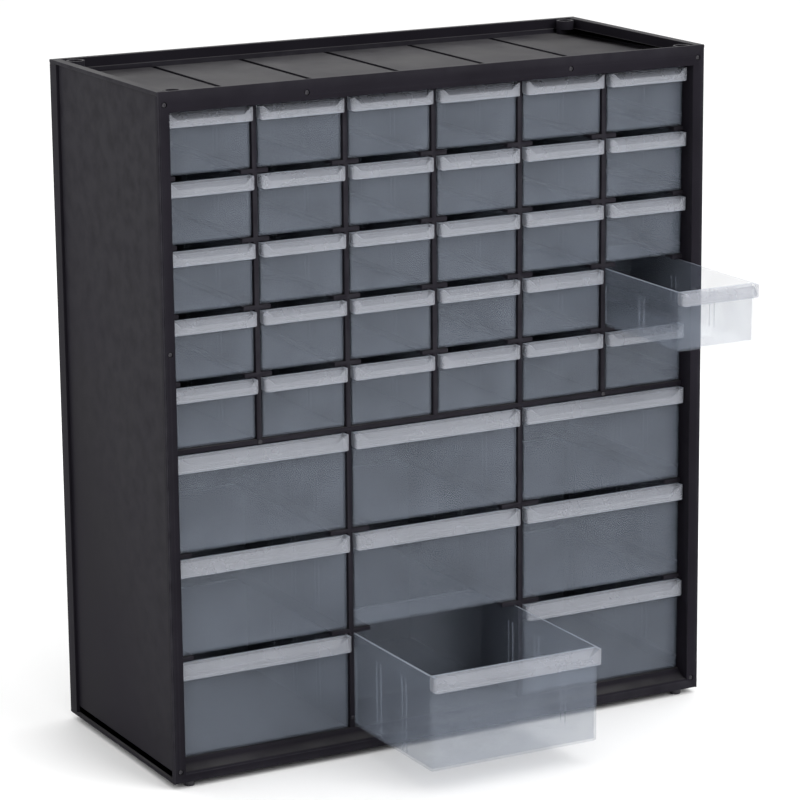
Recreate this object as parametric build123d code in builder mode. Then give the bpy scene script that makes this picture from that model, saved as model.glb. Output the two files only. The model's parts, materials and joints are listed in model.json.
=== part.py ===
"""A black plastic drawer cabinet: thirty small drawers in five rows above nine large ones.

Sizes are millimetres. The origin lies on the floor in the middle of the four feet, +X is
the right-hand side seen from the front, -Y is the front and +Z is up.
"""
import os
from dataclasses import dataclass

from build123d import *

os.makedirs("parts", exist_ok=True)

# ---------------------------------------------------------------- sizes that can be set

# whole cabinet
cabinet_width = 381.0
cabinet_depth = 161.0
body_height = 428.0
small_columns = 6
small_rows = 5
large_columns = 3
large_rows = 3

# drawers and the room they run in
small_drawer_height = 38.0
side_clearance = 0.5
running_gap = 0.3
head_clearance = 0.82
drawer_back_gap = 1.5
drawer_front_setback = 10.7
lip_front_setback = 5.5
lip_wall = 1.3
rib_pair_spacing = 5.4
rib_thickness = 1.1
rib_depth = 1.2
stop_lug_height = 1.2
stop_lug_length = 4.0
stop_lug_from_rear = 26.0
stop_clearance = 0.4

# how far short of its stop each of the two open drawers stands
open_small_short_of_stop = 32.0
open_large_short_of_stop = 18.0

# front frame
stile_width = 8.05
shell_edge = 1.4
face_wall = 1.8
top_rail_height = 12.8
rail_flange_thickness = 0.9
top_bar_drop = 1.1
bar_setback = 10.6
bar_depth = 3.0
bar_height = 2.7
crossbar_height = 3.0
sill_height = 11.6
sill_face_height = 6.9
sill_roll_radius = 1.8
sill_hollow_height = 4.5
sill_wall = 2.5

# partitions and shelves
partition_thickness = 3.2
small_ledge_width = 7.5
large_ledge_width = 12.0
ledge_thickness = 1.6
shelf_thickness = 1.9
guide_height = 6.0
tongue_height = 1.6
tongue_clearance = 0.2
tongue_end_inset = 2.5

# side panels
side_panel_thickness = 3.5
field_recess = 1.8
front_border = 3.0
back_post_depth = 10.3
bottom_flange_height = 2.4
screw_post_depth = 6.5

# top, back and bottom panels
tray_depth = 9.3
tray_floor_thickness = 2.6
rim_width = 6.0
rim_cap_height = 2.3
back_rim_width = 4.5
tray_back_wall = 2.0
tray_step_width = 1.5
tray_step_height = 3.0
back_panel_thickness = 2.5
bottom_plate_thickness = 3.0
skirt_thickness = 2.0

# feet and the sockets that take the feet of a cabinet above
foot_height = 4.0
foot_radius = 3.6
foot_stem_radius = 3.0
foot_side_inset = 12.9
foot_front_inset = 6.2
foot_back_inset = 11.0
foot_pad_radius = 5.75
socket_clearance = 0.4
socket_wall = 1.75
socket_top_drop = 0.4

# moulded pins on the front and screws at the back
pin_side_inset = 4.7
pin_top_drop = 8.0
pin_middle_height = 270.0
pin_bottom_height = 7.15
lower_pin_above_sill = 6.9
pin_head_radius = 1.4
pin_head_thickness = 0.7
pin_shank_radius = 1.0
pin_hole_clearance = 0.1
pin_length = 3.0
pin_recess_radius = 1.8
pin_recess_depth = 1.0
pin_boss_width = 6.0
pin_boss_depth = 4.0
pin_boss_height = 5.0
screw_head_radius = 2.0
screw_head_thickness = 1.2
screw_shank_radius = 1.0
screw_length = 6.8
screw_hole_clearance = 0.1
screw_recess_clearance = 0.2
screw_recess_depth = 1.4
screw_end_inset = 40.0

# ---------------------------------------------------------------- places worked out from them

# across
outer_x = cabinet_width / 2
opening_half = outer_x - stile_width
seat_x = outer_x - shell_edge
field_x = outer_x - field_recess
inner_x = outer_x - side_panel_thickness
small_pitch = (2 * opening_half + partition_thickness) / small_columns
large_pitch = (2 * opening_half + partition_thickness) / large_columns
upper_partition_places = [(i - small_columns / 2) * small_pitch for i in range(1, small_columns)]
lower_partition_places = [(i - large_columns / 2) * large_pitch for i in range(1, large_columns)]
small_column_places = [(i + 0.5 - small_columns / 2) * small_pitch for i in range(small_columns)]
large_column_places = [(i + 0.5 - large_columns / 2) * large_pitch for i in range(large_columns)]

# front to back
foot_y = (cabinet_depth - foot_front_inset - foot_back_inset) / 2
front = -foot_y - foot_front_inset
back = foot_y + foot_back_inset
face_back = front + face_wall
bar_front = front + bar_setback
bar_back = bar_front + bar_depth
inner_back = back - back_panel_thickness
drawer_front = front + drawer_front_setback
drawer_rear = inner_back - drawer_back_gap
lip_front = front + lip_front_setback
stop_lug_front = drawer_rear - stop_lug_from_rear
drawer_travel = stop_lug_front - bar_back - stop_clearance
mid_y = (front + back) / 2

# upwards
body_bottom = foot_height
body_top = body_bottom + body_height
rim_underside = body_top - rim_cap_height
tray_floor = body_top - tray_depth
tray_underside = tray_floor - tray_floor_thickness
rail_underside = body_top - top_rail_height
top_bar_underside = rail_underside - top_bar_drop
sill_top = body_bottom + sill_height
small_cell_height = running_gap + small_drawer_height + head_clearance
small_row_step = small_cell_height + bar_height
top_floor = top_bar_underside - small_cell_height
small_floors = [top_floor - row * small_row_step for row in range(small_rows)]
crossbar_top = small_floors[-1]
crossbar_underside = crossbar_top - crossbar_height
shelf_underside = crossbar_top - shelf_thickness
large_space = crossbar_underside - sill_top - (large_rows - 1) * bar_height
large_cell_height = large_space / large_rows
large_row_step = large_cell_height + bar_height
large_floors = [crossbar_underside - large_cell_height - row * large_row_step for row in range(large_rows)]
large_drawer_height = large_cell_height - running_gap - head_clearance

# feet, pins and screws
foot_x = outer_x - foot_side_inset
foot_places = [(x, y) for x in (-foot_x, foot_x) for y in (-foot_y, foot_y)]
socket_radius = foot_radius + socket_clearance
pin_x = outer_x - pin_side_inset
top_pin_z = body_top - pin_top_drop
inner_rail_pin_places = (-1.5 * small_pitch, 1.5 * small_pitch)
rail_pin_places = [(x, top_pin_z) for x in (-pin_x, *inner_rail_pin_places, pin_x)]
stile_pin_heights = (body_bottom + pin_middle_height, body_bottom + pin_bottom_height)
stile_pin_places = [(x, z) for x in (-pin_x, pin_x) for z in stile_pin_heights]
bezel_pin_places = rail_pin_places + stile_pin_places
crossbar_pin_z = (crossbar_top + crossbar_underside) / 2
crossbar_pin_places = [(x, crossbar_pin_z) for x in (-2 * small_pitch, 2 * small_pitch)]
lower_pin_places = [(x, sill_top + lower_pin_above_sill) for x in lower_partition_places]
pin_hole_radius = pin_shank_radius + pin_hole_clearance
screw_x = (opening_half + inner_x) / 2
lower_screw_heights = (sill_top + screw_end_inset, crossbar_top + screw_end_inset)
screw_heights = lower_screw_heights + (tray_underside - screw_end_inset,)
screw_places = [(x, z) for x in (-screw_x, screw_x) for z in screw_heights]
screw_seat_y = back - screw_recess_depth
screw_hole_radius = screw_shank_radius + screw_hole_clearance


def upright(y):
    """The standing plane at depth y: its own x is +X, its own y is +Z and it faces the front."""
    return Plane.XZ.offset(-y)


# ---------------------------------------------------------------- front frame

with BuildPart() as front_frame:
    # bezel ring, set between the edges of the side panels
    ring_mid_z = (body_bottom + body_top) / 2
    window_mid_z = (body_bottom + rail_underside) / 2
    with BuildSketch(upright(face_back)):
        with Locations((0, ring_mid_z)):
            Rectangle(2 * seat_x, body_height)
        with Locations((0, window_mid_z)):
            Rectangle(2 * opening_half, rail_underside - body_bottom, mode=Mode.SUBTRACT)
    extrude(amount=face_wall)
    # stile returns, back to the rear of the bars
    stile_mid_x = (opening_half + inner_x) / 2
    stile_height = tray_underside - body_bottom
    with BuildSketch(upright(bar_back)):
        with Locations(*[(x, body_bottom + stile_height / 2) for x in (-stile_mid_x, stile_mid_x)]):
            Rectangle(inner_x - opening_half, stile_height)
    extrude(amount=bar_back - front)
    # flange under the top rail, which carries the tray floor
    with BuildSketch(upright(bar_back)):
        with Locations((0, rail_underside + rail_flange_thickness / 2)):
            Rectangle(2 * opening_half, rail_flange_thickness)
    extrude(amount=bar_back - front)
    # bar under that flange, which stops the top row
    with BuildSketch(upright(bar_back)):
        with Locations((0, rail_underside - top_bar_drop / 2)):
            Rectangle(2 * opening_half, top_bar_drop)
    extrude(amount=bar_depth)
    # crossbar between the small and the large drawers
    with BuildSketch(upright(bar_back)):
        with Locations((0, (crossbar_top + crossbar_underside) / 2)):
            Rectangle(2 * opening_half, crossbar_height)
    extrude(amount=bar_depth)
    # sill: flat face, rolled edge, hollow cove up to the drawer floor, open underneath
    roll_top = body_bottom + sill_face_height
    with BuildSketch(Plane.YZ.offset(-opening_half)):
        with BuildLine():
            face_line = Line((front, body_bottom), (front, roll_top - sill_roll_radius))
            roll_end = (front + sill_roll_radius, roll_top)
            roll_middle = (front + sill_roll_radius * 0.293, roll_top - sill_roll_radius * 0.293)
            ThreePointArc(face_line @ 1, roll_middle, roll_end)
            cove = TangentArc(roll_end, (bar_front, sill_top), tangent=(1, 0))
            Polyline(cove @ 1, (bar_back, sill_top), (bar_back, body_bottom), (front, body_bottom))
        make_face()
    extrude(amount=2 * opening_half)
    with BuildSketch(Plane.XY.offset(body_bottom)):
        with Locations((0, (front + sill_wall + bar_back) / 2)):
            Rectangle(2 * opening_half, bar_back - front - sill_wall)
    extrude(amount=sill_hollow_height, mode=Mode.SUBTRACT)
    # holes and round recesses of the moulded pins
    with BuildSketch(upright(front)):
        with Locations(*bezel_pin_places):
            Circle(pin_recess_radius)
    extrude(amount=-pin_recess_depth, mode=Mode.SUBTRACT)
    with BuildSketch(upright(front)):
        with Locations(*bezel_pin_places):
            Circle(pin_hole_radius)
    extrude(amount=-pin_recess_depth - pin_length, mode=Mode.SUBTRACT)
    with BuildSketch(upright(bar_front)):
        with Locations(*crossbar_pin_places):
            Circle(pin_hole_radius)
    extrude(amount=-bar_depth, mode=Mode.SUBTRACT)
front_frame.part.label = "front_frame"
export_step(front_frame.part, "parts/front_frame.step")

# ---------------------------------------------------------------- side panels

with BuildPart() as side_panel_right:
    # wall with a recessed field between the front border and the back post
    with BuildSketch(Plane.XY.offset(body_bottom)):
        with BuildLine():
            Polyline(
                (seat_x, front),
                (outer_x, front),
                (outer_x, front + front_border),
                (field_x, front + front_border),
                (field_x, back - back_post_depth),
                (outer_x, back - back_post_depth),
                (outer_x, back),
                (inner_x, back),
                (inner_x, face_back),
                (seat_x, face_back),
                close=True,
            )
        make_face()
    extrude(amount=rim_underside - body_bottom)
    # flange along the bottom of the field
    field_depth = cabinet_depth - front_border - back_post_depth
    with BuildSketch(Plane.XY.offset(body_bottom)):
        with Locations(((field_x + outer_x) / 2, front + front_border + field_depth / 2)):
            Rectangle(field_recess, field_depth)
    extrude(amount=bottom_flange_height)
    # seat of the middle shelf
    with BuildSketch(Plane.XY.offset(shelf_underside - ledge_thickness)):
        with Locations((stile_mid_x, (bar_back + inner_back) / 2)):
            Rectangle(inner_x - opening_half, inner_back - bar_back)
    extrude(amount=ledge_thickness)
    # posts that take the screws of the back panel, above and below the middle shelf
    for post_foot, post_head in ((sill_top, shelf_underside), (crossbar_top, tray_underside)):
        with BuildSketch(Plane.XY.offset(post_foot)):
            with Locations((stile_mid_x, inner_back - screw_post_depth / 2)):
                Rectangle(inner_x - opening_half, screw_post_depth)
        extrude(amount=post_head - post_foot)
    with BuildSketch(upright(inner_back)):
        with Locations(*[(screw_x, z) for z in screw_heights]):
            Circle(screw_hole_radius)
    extrude(amount=screw_post_depth - screw_hole_clearance, mode=Mode.SUBTRACT)
side_panel_right.part.label = "side_panel_right"
export_step(side_panel_right.part, "parts/side_panel_right.step")

with BuildPart() as side_panel_left:
    mirror(side_panel_right.part, about=Plane.YZ)
side_panel_left.part.label = "side_panel_left"
export_step(side_panel_left.part, "parts/side_panel_left.step")

# ---------------------------------------------------------------- runners of the outer columns

with BuildPart() as outer_runners_right:
    runner_back = inner_back - screw_post_depth
    runner_mid_y = (bar_back + runner_back) / 2
    # ledges on the inside of the wall, with their downturned front ends
    outer_ledges = [(level, small_ledge_width) for level in small_floors[:-1]]
    outer_ledges += [(level, large_ledge_width) for level in large_floors[:-1]]
    for level, ledge_width in outer_ledges:
        ledge_inner_x = opening_half - ledge_width
        with BuildSketch(Plane.XY.offset(level - ledge_thickness)):
            with Locations(((ledge_inner_x + inner_x) / 2, runner_mid_y)):
                Rectangle(inner_x - ledge_inner_x, runner_back - bar_back)
        extrude(amount=ledge_thickness)
        with BuildSketch(Plane.XY.offset(level - bar_height)):
            with Locations(((ledge_inner_x + opening_half) / 2, (bar_front + bar_back) / 2)):
                Rectangle(ledge_width, bar_depth)
        extrude(amount=bar_height)
    # upright guides beside every drawer
    for level in small_floors + large_floors:
        with BuildSketch(Plane.XY.offset(level)):
            with Locations((stile_mid_x, runner_mid_y)):
                Rectangle(inner_x - opening_half, runner_back - bar_back)
        extrude(amount=guide_height)
outer_runners_right.part.label = "outer_runners_right"
export_step(outer_runners_right.part, "parts/outer_runners_right.step")

with BuildPart() as outer_runners_left:
    mirror(outer_runners_right.part, about=Plane.YZ)
outer_runners_left.part.label = "outer_runners_left"
export_step(outer_runners_left.part, "parts/outer_runners_left.step")

# ---------------------------------------------------------------- top panel

with BuildPart() as top_panel:
    # tray floor
    with BuildSketch(Plane.XY.offset(tray_underside)):
        with Locations((0, (face_back + inner_back) / 2)):
            Rectangle(2 * inner_x, inner_back - face_back)
    extrude(amount=tray_floor_thickness)
    # walls at both sides and at the back
    wall_inner_x = outer_x - rim_width
    tray_back = inner_back - tray_back_wall
    with BuildSketch(Plane.XY.offset(tray_floor)):
        with Locations((0, (face_back + inner_back) / 2)):
            Rectangle(2 * inner_x, inner_back - face_back)
        with Locations((0, (face_back + tray_back) / 2)):
            Rectangle(2 * wall_inner_x, tray_back - face_back, mode=Mode.SUBTRACT)
    extrude(amount=rim_underside - tray_floor)
    # low step along the foot of these walls
    step_inner_x = wall_inner_x - tray_step_width
    step_back = tray_back - tray_step_width
    with BuildSketch(Plane.XY.offset(tray_floor)):
        with Locations((0, (face_back + tray_back) / 2)):
            Rectangle(2 * wall_inner_x, tray_back - face_back)
        with Locations((0, (face_back + step_back) / 2)):
            Rectangle(2 * step_inner_x, step_back - face_back, mode=Mode.SUBTRACT)
    extrude(amount=tray_step_height)
    # rim cap over the walls, the side panels and the back panel, cut back for the bezel
    with BuildSketch(Plane.XY.offset(rim_underside)):
        with Locations((0, mid_y)):
            Rectangle(cabinet_width, cabinet_depth)
        with Locations((0, (front + back - back_rim_width) / 2)):
            Rectangle(2 * wall_inner_x, cabinet_depth - back_rim_width, mode=Mode.SUBTRACT)
        with Locations((0, (front + face_back) / 2)):
            Rectangle(2 * seat_x, face_wall, mode=Mode.SUBTRACT)
    extrude(amount=rim_cap_height)
    # small blocks behind the top rail, which take its two inner pins
    with BuildSketch(Plane.XY.offset(tray_floor)):
        with Locations(*[(x, face_back + pin_boss_depth / 2) for x in inner_rail_pin_places]):
            Rectangle(pin_boss_width, pin_boss_depth)
    extrude(amount=pin_boss_height)
    with BuildSketch(upright(face_back)):
        with Locations(*rail_pin_places):
            Circle(pin_hole_radius)
    extrude(amount=-pin_recess_depth - pin_length + face_wall, mode=Mode.SUBTRACT)
    # square room for the corner sockets in the step
    socket_room = 2 * (socket_radius + socket_wall + tongue_clearance)
    with BuildSketch(Plane.XY.offset(tray_floor)):
        with Locations(*foot_places):
            Rectangle(socket_room, socket_room)
    extrude(amount=tray_step_height, mode=Mode.SUBTRACT)
    # slots over the upper partitions
    slot_front = bar_back + tongue_end_inset - tongue_clearance
    slot_back = inner_back - tongue_end_inset + tongue_clearance
    with BuildSketch(Plane.XY.offset(tray_underside)):
        with Locations(*[(x, (slot_front + slot_back) / 2) for x in upper_partition_places]):
            Rectangle(partition_thickness + 2 * tongue_clearance, slot_back - slot_front)
    extrude(amount=tray_floor_thickness, mode=Mode.SUBTRACT)
top_panel.part.label = "top_panel"
export_step(top_panel.part, "parts/top_panel.step")

# ---------------------------------------------------------------- corner sockets

with BuildPart() as corner_sockets:
    # upright rings on the tray floor, the front two cut flat behind the top rail
    with BuildSketch(Plane.XY.offset(tray_floor)):
        with Locations(*foot_places):
            Circle(socket_radius + socket_wall)
            Circle(socket_radius, mode=Mode.SUBTRACT)
        with Locations((0, (front + face_back) / 2)):
            Rectangle(cabinet_width, face_wall, mode=Mode.SUBTRACT)
    extrude(amount=tray_depth - socket_top_drop)
corner_sockets.part.label = "corner_sockets"
export_step(corner_sockets.part, "parts/corner_sockets.step")

# ---------------------------------------------------------------- back panel

with BuildPart() as back_panel:
    with BuildSketch(upright(back)):
        with Locations((0, (body_bottom + rim_underside) / 2)):
            Rectangle(2 * inner_x, rim_underside - body_bottom)
    extrude(amount=back_panel_thickness)
    with BuildSketch(upright(back)):
        with Locations(*screw_places):
            Circle(screw_head_radius + screw_recess_clearance)
    extrude(amount=screw_recess_depth, mode=Mode.SUBTRACT)
    with BuildSketch(upright(back)):
        with Locations(*screw_places):
            Circle(screw_hole_radius)
    extrude(amount=back_panel_thickness, mode=Mode.SUBTRACT)
back_panel.part.label = "back_panel"
export_step(back_panel.part, "parts/back_panel.step")

# ---------------------------------------------------------------- bottom panel

with BuildPart() as bottom_panel:
    # floor of the lowest row
    plate_underside = sill_top - bottom_plate_thickness
    panel_depth = inner_back - bar_back
    panel_mid_y = (bar_back + inner_back) / 2
    with BuildSketch(Plane.XY.offset(plate_underside)):
        with Locations((0, panel_mid_y)):
            Rectangle(2 * inner_x, panel_depth)
    extrude(amount=bottom_plate_thickness)
    # skirt around the underside and a rib under each lower partition
    with BuildSketch(Plane.XY.offset(body_bottom)):
        with Locations((0, panel_mid_y)):
            Rectangle(2 * inner_x, panel_depth)
            Rectangle(2 * (inner_x - skirt_thickness), panel_depth - 2 * skirt_thickness, mode=Mode.SUBTRACT)
        with Locations(*[(x, panel_mid_y) for x in lower_partition_places]):
            Rectangle(skirt_thickness, panel_depth)
    extrude(amount=plate_underside - body_bottom)
    # pads over the two back feet
    with BuildSketch(Plane.XY.offset(body_bottom + sill_hollow_height)):
        with Locations((-foot_x, foot_y), (foot_x, foot_y)):
            Circle(foot_pad_radius)
    extrude(amount=plate_underside - body_bottom - sill_hollow_height)
bottom_panel.part.label = "bottom_panel"
export_step(bottom_panel.part, "parts/bottom_panel.step")

# ---------------------------------------------------------------- middle shelf

with BuildPart() as mid_shelf:
    with BuildSketch(Plane.XY.offset(shelf_underside)):
        with Locations((0, panel_mid_y)):
            Rectangle(2 * inner_x, panel_depth)
    extrude(amount=shelf_thickness)
mid_shelf.part.label = "mid_shelf"
export_step(mid_shelf.part, "parts/mid_shelf.step")


# ---------------------------------------------------------------- partitions

def make_partition(x, foot, front_head, rear_head, ledge_levels, ledge_width):
    """A standing wall with a ledge to each side under every drawer, downturned at the front."""
    with BuildPart() as partition:
        # wall and ledges behind the bars
        with BuildSketch(upright(inner_back)):
            with Locations((x, (foot + rear_head) / 2)):
                Rectangle(partition_thickness, rear_head - foot)
            for level in ledge_levels:
                with Locations((x, level - ledge_thickness / 2)):
                    Rectangle(partition_thickness + 2 * ledge_width, ledge_thickness)
        extrude(amount=inner_back - bar_back)
        # front edge, which shows as the bar between two drawers
        with BuildSketch(upright(bar_back)):
            with Locations((x, (foot + front_head) / 2)):
                Rectangle(partition_thickness, front_head - foot)
            for level in ledge_levels:
                with Locations((x, level - bar_height / 2)):
                    Rectangle(partition_thickness + 2 * ledge_width, bar_height)
        extrude(amount=bar_depth)
    return partition


for number, x in enumerate(upper_partition_places, start=1):
    levels = small_floors[:-1]
    wall = make_partition(x, crossbar_top, top_bar_underside, tray_underside, levels, small_ledge_width)
    with BuildPart() as upper_partition:
        add(wall.part)
        # tongue that stands in the slot of the tray floor
        with BuildSketch(Plane.XY.offset(tray_underside)):
            with Locations((x, (slot_front + slot_back) / 2)):
                Rectangle(partition_thickness, slot_back - slot_front - 2 * tongue_clearance)
        extrude(amount=tongue_height)
    upper_partition.part.label = f"upper_partition_{number}"
    export_step(upper_partition.part, f"parts/upper_partition_{number}.step")

for number, x in enumerate(lower_partition_places, start=1):
    levels = large_floors[:-1]
    wall = make_partition(x, sill_top, crossbar_underside, shelf_underside, levels, large_ledge_width)
    with BuildPart() as lower_partition:
        add(wall.part)
        # hole of the pin low on its front edge
        with BuildSketch(upright(bar_front)):
            with Locations((x, sill_top + lower_pin_above_sill)):
                Circle(pin_hole_radius)
        extrude(amount=-pin_length, mode=Mode.SUBTRACT)
    lower_partition.part.label = f"lower_partition_{number}"
    export_step(lower_partition.part, f"parts/lower_partition_{number}.step")

# ---------------------------------------------------------------- pins, screws and feet

with BuildPart() as front_pins:
    pin_groups = (
        (bezel_pin_places, front + pin_recess_depth),
        (crossbar_pin_places + lower_pin_places, bar_front),
    )
    for places, seat_y in pin_groups:
        with BuildSketch(upright(seat_y)):
            with Locations(*places):
                Circle(pin_head_radius)
        extrude(amount=pin_head_thickness)
        with BuildSketch(upright(seat_y)):
            with Locations(*places):
                Circle(pin_shank_radius)
        extrude(amount=-(pin_length - pin_recess_depth))
front_pins.part.label = "front_pins"
export_step(front_pins.part, "parts/front_pins.step")

with BuildPart() as back_screws:
    with BuildSketch(upright(screw_seat_y)):
        with Locations(*screw_places):
            Circle(screw_head_radius)
    extrude(amount=-screw_head_thickness)
    with BuildSketch(upright(screw_seat_y)):
        with Locations(*screw_places):
            Circle(screw_shank_radius)
    extrude(amount=screw_length)
back_screws.part.label = "back_screws"
export_step(back_screws.part, "parts/back_screws.step")

with BuildPart() as feet:
    # peg that stands on the floor or in a socket, then its thinner stem up inside the base
    with BuildSketch(Plane.XY):
        with Locations(*foot_places):
            Circle(foot_radius)
    extrude(amount=foot_height)
    with BuildSketch(Plane.XY.offset(foot_height)):
        with Locations(*foot_places):
            Circle(foot_stem_radius)
    extrude(amount=sill_hollow_height)
feet.part.label = "feet"
export_step(feet.part, "parts/feet.step")


# ---------------------------------------------------------------- drawers

@dataclass
class DrawerKind:
    """What sets a small drawer apart from a large one."""

    width: float
    height: float
    wall: float
    lip_height: float
    crease_drop: float
    hip_start: float
    hip_end: float
    rib_places: tuple
    rib_drop: float


small_drawer = DrawerKind(
    width=small_pitch - partition_thickness - 2 * side_clearance,
    height=small_drawer_height,
    wall=1.3,
    lip_height=8.4,
    crease_drop=3.9,
    hip_start=2.3,
    hip_end=6.6,
    rib_places=(45.5, 91.0),
    rib_drop=11.9,
)
large_drawer = DrawerKind(
    width=large_pitch - partition_thickness - 2 * side_clearance,
    height=large_drawer_height,
    wall=1.5,
    lip_height=10.0,
    crease_drop=5.0,
    hip_start=2.5,
    hip_end=10.0,
    rib_places=(38.0, 71.0, 104.0),
    rib_drop=11.547,
)


def make_scoop(kind, x, lip_face, wall_face, top):
    """The wedge cut from the top of a pull lip, with slanted ends that leave two corner blocks."""
    with BuildPart() as scoop:
        with BuildSketch(Plane.YZ.offset(x - kind.width / 2)):
            with BuildLine():
                Polyline((lip_face, top), (lip_face, top - kind.crease_drop), (wall_face, top), close=True)
            make_face()
        extrude(amount=kind.width)
        top_half = kind.width / 2 - kind.hip_start
        crease_half = kind.width / 2 - kind.hip_end
        crease_z = top - kind.crease_drop
        with BuildSketch(upright(wall_face)):
            with BuildLine():
                Polyline(
                    (x - top_half, top),
                    (x - crease_half, crease_z),
                    (x + crease_half, crease_z),
                    (x + top_half, top),
                    close=True,
                )
            make_face()
        extrude(amount=wall_face - lip_face, mode=Mode.INTERSECT)
    return scoop


def make_drawer(kind, x, floor_level, pull_out):
    """An open drawer with a hooked pull lip, pairs of divider ribs and two stop lugs."""
    wall_face = drawer_front - pull_out
    rear_face = drawer_rear - pull_out
    lip_face = lip_front - pull_out
    bottom = floor_level + running_gap
    top = bottom + kind.height
    inner_half = kind.width / 2 - kind.wall
    length = rear_face - wall_face
    middle = (x, (wall_face + rear_face) / 2)
    scoop = make_scoop(kind, x, lip_face, wall_face, top)
    with BuildPart() as drawer:
        # box with a flat floor
        with BuildSketch(Plane.XY.offset(bottom)):
            with Locations(middle):
                Rectangle(kind.width, length)
        extrude(amount=kind.height)
        with BuildSketch(Plane.XY.offset(bottom + kind.wall)):
            with Locations(middle):
                Rectangle(2 * inner_half, length - 2 * kind.wall)
        extrude(amount=kind.height, mode=Mode.SUBTRACT)
        # pull lip with its scooped top, hollow from below
        with BuildSketch(Plane.YZ.offset(x - kind.width / 2)):
            with Locations(((lip_face + wall_face) / 2, top - kind.lip_height / 2)):
                Rectangle(wall_face - lip_face, kind.lip_height)
        extrude(amount=kind.width)
        add(scoop.part, mode=Mode.SUBTRACT)
        slope = kind.crease_drop / (wall_face - lip_face)
        slope_wall = lip_wall * (1 + slope**2) ** 0.5
        hollow_face = lip_face + lip_wall
        hollow_top = top - kind.crease_drop + slope * lip_wall - slope_wall
        with BuildSketch(Plane.YZ.offset(x - inner_half)):
            with BuildLine():
                Polyline(
                    (hollow_face, top - kind.lip_height),
                    (hollow_face, hollow_top),
                    (wall_face, top - slope_wall),
                    (wall_face, top - kind.lip_height),
                    close=True,
                )
            make_face()
        extrude(amount=2 * inner_half, mode=Mode.SUBTRACT)
        # pairs of ribs that hold a divider, inside both side walls
        rib_x = inner_half - rib_depth / 2
        rib_steps = (-rib_pair_spacing / 2, rib_pair_spacing / 2)
        rib_y = [wall_face + place + step for place in kind.rib_places for step in rib_steps]
        with BuildSketch(Plane.XY.offset(bottom + kind.wall)):
            with Locations(*[(x + side * rib_x, y) for side in (-1, 1) for y in rib_y]):
                Rectangle(rib_depth, rib_thickness)
        extrude(amount=kind.height - kind.rib_drop - kind.wall)
        # lugs that meet the bar above when the drawer is fully out
        lug_x = kind.width / 2 - kind.wall / 2
        lug_y = stop_lug_front - pull_out + stop_lug_length / 2
        with BuildSketch(Plane.XY.offset(top)):
            with Locations((x - lug_x, lug_y), (x + lug_x, lug_y)):
                Rectangle(kind.wall, stop_lug_length)
        extrude(amount=stop_lug_height)
    return drawer


# rows are counted from the top, columns from the left
open_small = (4, 6)
open_large = (3, 2)

for row, level in enumerate(small_floors, start=1):
    for column, x in enumerate(small_column_places, start=1):
        pull_out = drawer_travel - open_small_short_of_stop if (row, column) == open_small else 0.0
        drawer = make_drawer(small_drawer, x, level, pull_out)
        drawer.part.label = f"small_drawer_r{row}_c{column}"
        export_step(drawer.part, f"parts/small_drawer_r{row}_c{column}.step")

for row, level in enumerate(large_floors, start=1):
    for column, x in enumerate(large_column_places, start=1):
        pull_out = drawer_travel - open_large_short_of_stop if (row, column) == open_large else 0.0
        drawer = make_drawer(large_drawer, x, level, pull_out)
        drawer.part.label = f"large_drawer_r{row}_c{column}"
        export_step(drawer.part, f"parts/large_drawer_r{row}_c{column}.step")
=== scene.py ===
import json
import math

import bmesh
import bpy
from mathutils import Matrix, Vector

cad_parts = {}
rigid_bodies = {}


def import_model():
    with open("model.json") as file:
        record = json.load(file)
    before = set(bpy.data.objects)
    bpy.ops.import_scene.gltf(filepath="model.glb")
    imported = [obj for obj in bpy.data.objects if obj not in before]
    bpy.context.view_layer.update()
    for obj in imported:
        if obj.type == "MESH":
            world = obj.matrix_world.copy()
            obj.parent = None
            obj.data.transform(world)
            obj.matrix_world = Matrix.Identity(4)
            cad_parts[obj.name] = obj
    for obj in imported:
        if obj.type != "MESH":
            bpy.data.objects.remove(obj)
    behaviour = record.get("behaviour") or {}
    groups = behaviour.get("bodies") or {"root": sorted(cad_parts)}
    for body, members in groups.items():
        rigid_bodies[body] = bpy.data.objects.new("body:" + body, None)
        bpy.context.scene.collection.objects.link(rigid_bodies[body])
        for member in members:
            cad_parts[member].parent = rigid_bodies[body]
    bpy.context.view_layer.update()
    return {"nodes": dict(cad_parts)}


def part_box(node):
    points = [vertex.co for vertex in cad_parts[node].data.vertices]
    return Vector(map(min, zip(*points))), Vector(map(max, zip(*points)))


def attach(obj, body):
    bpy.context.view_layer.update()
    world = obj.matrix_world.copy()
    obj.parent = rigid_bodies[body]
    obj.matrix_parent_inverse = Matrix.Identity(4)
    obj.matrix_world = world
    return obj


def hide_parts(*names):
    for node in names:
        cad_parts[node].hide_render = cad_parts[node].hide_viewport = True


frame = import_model()

bl_info = {
    "name": "Drawer cabinet",
    "version": (1, 0, 0),
    "blender": (4, 5, 0),
    "location": "3D View > Sidebar > Cabinet",
    "description": "Builds a black plastic cabinet with small and large translucent drawers",
    "category": "Object",
}

MM = 0.001
NEAR = 0.02 * MM         # a place this close to a plane counts as on it
TINY = 0.001 * MM        # the same for small pieces, and for points that a cut leaves twice
WELD = 0.002 * MM        # frame points nearer to each other than this are one
PAST = 2 * MM            # how far a cutter reaches past the surface
BROAD = 3.5 * MM         # a face wider than this keeps its flat normal
THIN = 0.45 * MM         # a face narrower than this belongs to a rounded edge
FLAT = math.radians(0.5)     # faces that turn less than this are one flat face
SHARP = math.radians(30)     # edges that turn more than this are rounded
FOLDED = math.radians(150)   # edges that turn more than this are left as they are
ROUND_PIECE = math.radians(40)   # small round pieces are shaded smooth up to this turn
LIP_ROOT = 0.6           # how far a lip reaches into the front wall, as a share of the wall
RIB_ROOT = 0.25          # how far a rib reaches into the side wall
RIB_FOOT = 0.5           # how far a rib reaches into the drawer's floor


# ---------------------------------------- sizes and colours

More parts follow.
